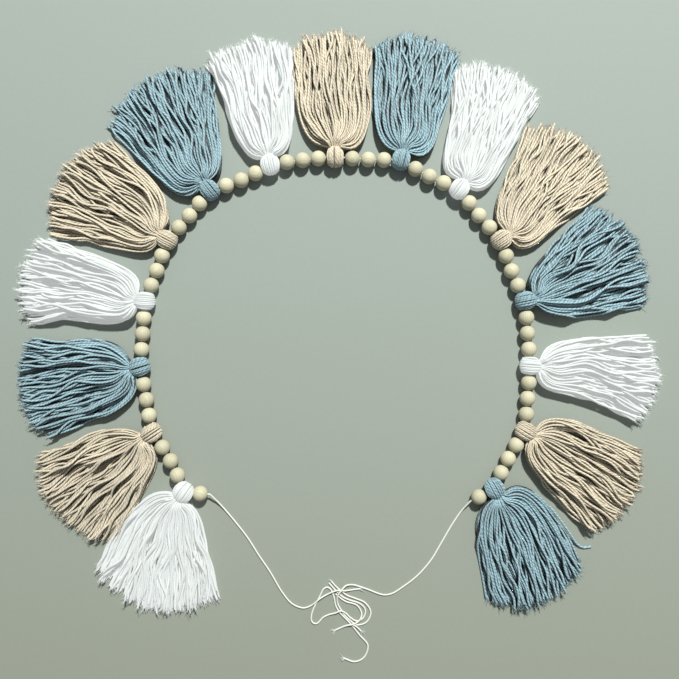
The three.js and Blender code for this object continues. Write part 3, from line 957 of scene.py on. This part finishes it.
def strand_sides(across, under, low, high, chance):
    """Each strand's place, in millimetres to the left of the neck's line, before it is dropped."""
    spread = np.clip((STATIONS - WAVES_START) / WAVES_FULL_AFTER, 0, 1)
    width = (high - low) * STATIONS
    edges = np.sort(chance.uniform(0, 1, LOCKS - 1))
    lock = np.searchsorted(edges, across)
    sway = np.array([smooth_noise(chance, LOCK_SWAY_SPACING) for _ in range(LOCKS)])
    drawn = np.array([smooth_noise(chance, LOCK_DRAWN_SPACING) for _ in range(LOCKS)])
    drawn = np.clip(0.5 + 0.7 * drawn, 0, 1)
    crossing = (chance.uniform(0, 1, STRANDS) < CROSSING_SHARE) & ~under
    sides = []
    for i in range(STRANDS):
        free = UNDER_WAVES if under[i] else 1.0
        middle = across[lock == lock[i]].mean()
        share = across[i] + (middle - across[i]) * free * LOCK_DRAWN_IN * drawn[lock[i]] * spread
        side = low * STATIONS + width * share + free * LOCK_SWAY * spread * sway[lock[i]]
        for length, size in WAVES:
            start = chance.uniform(0, 2 * math.pi)
            own = chance.uniform(0.4, 1.6)
            length = length * chance.uniform(0.8, 1.25)
            side = side + free * size * own * spread * np.sin(2 * math.pi * STATIONS / length + start)
        if crossing[i]:
            from_here = chance.uniform(*CROSSING_STARTS)
            lean = chance.normal(0, CROSSING_SLOPE) * np.clip(STATIONS - from_here, 0, None)
            side = side + CROSSING_MOST * np.tanh(lean / CROSSING_MOST)
        sides.append(np.clip(side, low * STATIONS - EDGE_LEEWAY, high * STATIONS + EDGE_LEEWAY))
    return np.array(sides), crossing


def heaped_strands(tassel, chance):
    """The strands laid one by one. Each row is one strand, from the lowest to the highest."""
    low = fan_edge(tassel, 0)
    high = fan_edge(tassel, 1)
    under = np.arange(STRANDS) < UNDER_STRANDS
    upper_count = STRANDS - UNDER_STRANDS
    across = np.concatenate([
        (np.arange(UNDER_STRANDS) + 0.5) / UNDER_STRANDS,
        (np.arange(upper_count) + 0.5 + chance.normal(0, 0.5, upper_count)) / upper_count,
    ])
    across = np.clip(across, 0.002, 0.998)
    targets, crossing = strand_sides(across, under, low, high, chance)
    layer = np.where(crossing, chance.uniform(0.65, 1, STRANDS), chance.uniform(0.35, 0.95, STRANDS))
    layer = np.where(under, chance.uniform(0, 0.35, STRANDS), layer)
    order = np.argsort(layer)
    own = chance.uniform(*STRAND_SPREAD, STRANDS)
    tilts = 2 * across[order] - 1
    layers = 2 * (np.arange(STRANDS) + 0.5) / STRANDS - 1
    crowns = NECK_BUNDLE * layers * np.sqrt(np.clip(1 - tilts ** 2, 0, None))
    fall = np.clip((STATIONS - FALL_START) / FALL_RUN, 0, 1)
    fall = 1 - fall * fall * (3 - 2 * fall)
    sides = np.zeros((0, len(STATIONS)))
    heights = np.zeros_like(sides)
    radii = np.zeros_like(sides)
    for i, crown in zip(order, crowns):
        radius = np.interp(STATIONS, *STRAND_SWELLS) * own[i]
        free = (NECK_HEIGHT + crown) * fall
        side, height = drop(targets[i], free, radius, sides, heights, radii)
        sides = np.vstack([sides, side])
        heights = np.vstack([heights, height])
        radii = np.vstack([radii, radius])
    rounded_ends = 1 - END_ROUNDING * (2 * across - 1) ** 2
    lengths = tassel["reach"] * rounded_ends + chance.normal(0, LENGTH_SPREAD, STRANDS)
    return sides, heights, radii, tilts, crowns, lengths[order]


def neck_line(tilt, crown, fan):
    """The few points of a strand from its root in the neck to where its fan begins."""
    root = np.array([FAN_CENTRE - ROOT_INSET, ROOT_SPREAD * tilt, NECK_HEIGHT + ROOT_CROWN * crown])
    apart = np.linalg.norm(fan[0] - root)
    angle = math.atan2(fan[0][1], fan[0][0] - FAN_CENTRE)
    way = np.array([math.cos(angle), math.sin(angle), 0]) * apart
    onward = (fan[1] - fan[0]) / np.linalg.norm(fan[1] - fan[0]) * apart
    t = np.linspace(0, 1, NECK_STEPS + 1)[:-1, None]
    return (
        (2 * t ** 3 - 3 * t ** 2 + 1) * root
        + (t ** 3 - 2 * t ** 2 + t) * way
        + (3 * t ** 2 - 2 * t ** 3) * fan[0]
        + (t ** 3 - t ** 2) * onward
    )


def fringe_lines(tassel, chance):
    """All strands of one fringe in the tassel's own frame, with their radii and how covered they are."""
    sides, heights, radii, tilts, crowns, lengths = heaped_strands(tassel, chance)
    lines = []
    thicknesses = []
    covers = []
    for side, height, radius, tilt, crown, length in zip(sides, heights, radii, tilts, crowns, lengths):
        # How far the heap rises over this strand becomes its painted shade.
        over = heap_height(side, radius * 0.6, sides, heights, radii) - height - SOFTNESS * 1.6 * radius
        cover = np.clip(over / BURIED_DEPTH, 0, 1)
        angle = side / STATIONS
        out = FAN_CENTRE + STATIONS * np.cos(angle)
        fan = np.column_stack([out, STATIONS * np.sin(angle), height])
        keep = int(np.searchsorted(STATIONS, length))
        end = np.array([np.interp(length, STATIONS, fan[:, k]) for k in range(3)])
        line = np.vstack([neck_line(tilt, crown, fan), fan[:keep], end])
        thick = np.concatenate([
            np.linspace(NECK_YARN, radius[0], NECK_STEPS + 1)[:-1],
            radius[:keep],
            [radius[-1] * TIP_SHARE],
        ])
        line[:, 2] = np.maximum(line[:, 2], thick)
        lines.append(line)
        thicknesses.append(thick * MM)
        covers.append(np.concatenate([[cover[0]] * NECK_STEPS, cover[:keep], [cover[keep - 1]]]))
    return lines, thicknesses, covers


def fray_lines(strands, chance):
    """The loose fibres at the cut ends: each leaves its strand near the end and curls its own way."""
    lines = []
    for strand in strands:
        along = strand[-1] - strand[-3]
        along = along / np.linalg.norm(along)
        across = np.array([-along[1], along[0], 0])
        for _ in range(FRAYS):
            length = chance.uniform(*FRAY_LENGTH)
            lean = chance.normal(0, 0.45)
            curl = chance.normal(0, 0.5)
            t = np.linspace(0, 1, len(FRAY_TAPER))[:, None]
            run = length * t
            side = length * (lean * t + curl * t * t) * 0.6
            start = strand[-1] - along * FRAY_ROOT + across * chance.uniform(-0.5, 0.5)
            line = start + along * run + across * side
            line[:, 2] = np.maximum(line[:, 2] + (chance.normal(0, 0.35) * run)[:, 0], FRAY_RADIUS)
            lines.append(line)
    return lines


def frays_piece(name, lines, yarn, seed):
    """One object of loose fibres along lines in metres, thinner towards their ends."""
    radii = [FRAY_TAPER * FRAY_RADIUS * MM] * len(lines)
    bare = [np.zeros(len(FRAY_TAPER))] * len(lines)
    return strands_from_lines(name, lines, radii, bare, yarn, seed, sides=FRAY_SIDES)


for number, tassel in enumerate(TASSELS, start=1):
    yarn = YARNS[(number - 1) % len(YARNS)]
    node = f"tassel_{number:02d}"
    chance = np.random.default_rng(100 + number)
    lines, radii = head_lines(chance)
    lines = [tassel_to_garland(tassel, line) for line in lines]
    radii = [r * MM for r in radii]
    shaded = [np.full(len(line), HEAD_SHADE) for line in lines]
    head = strands_from_lines(f"{node}_head", lines, radii, shaded, yarn, 300 + number, sides=HEAD_SIDES)
    core = head_core(f"{node}_core", tassel, yarn)
    lines, radii, covers = fringe_lines(tassel, chance)
    frays = [tassel_to_garland(tassel, line) for line in fray_lines(lines, chance)]
    lines = [tassel_to_garland(tassel, line) for line in lines]
    if number == len(TASSELS):
        stray = smooth_line(np.array(STRAY_STRAND) * MM, STRAY_STEP * MM)
        lines.append(stray)
        radii.append(np.full(len(stray), STRAND_RADIUS * MM))
        covers.append(np.zeros(len(stray)))
    fringe = strands_from_lines(f"{node}_fringe", lines, radii, covers, yarn, 500 + number)
    fray = frays_piece(f"{node}_frays", frays, yarn, 700 + number)
    for piece in (head, core, fringe, fray):
        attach(piece, "root")
        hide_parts(node)


# The string's frayed ends.
# Where the string is cut its plies have come apart, so a few loose fibres stand out of every free
# end. They are laid like the loose fibres of the fringes and are part of the string.

FIBRE_SETS = 3

chance = np.random.default_rng(41)
routes = (LEFT_STRING, RIGHT_STRING, TAIL_STRING, MIDDLE_STRING, SHORT_STRING)
ends = [np.array(route[-3:], float) for route in routes] * FIBRE_SETS
fibres = frays_piece("string_frays", [line * MM for line in fray_lines(ends, chance)], "white", 901)
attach(fibres, "root")
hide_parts("string")
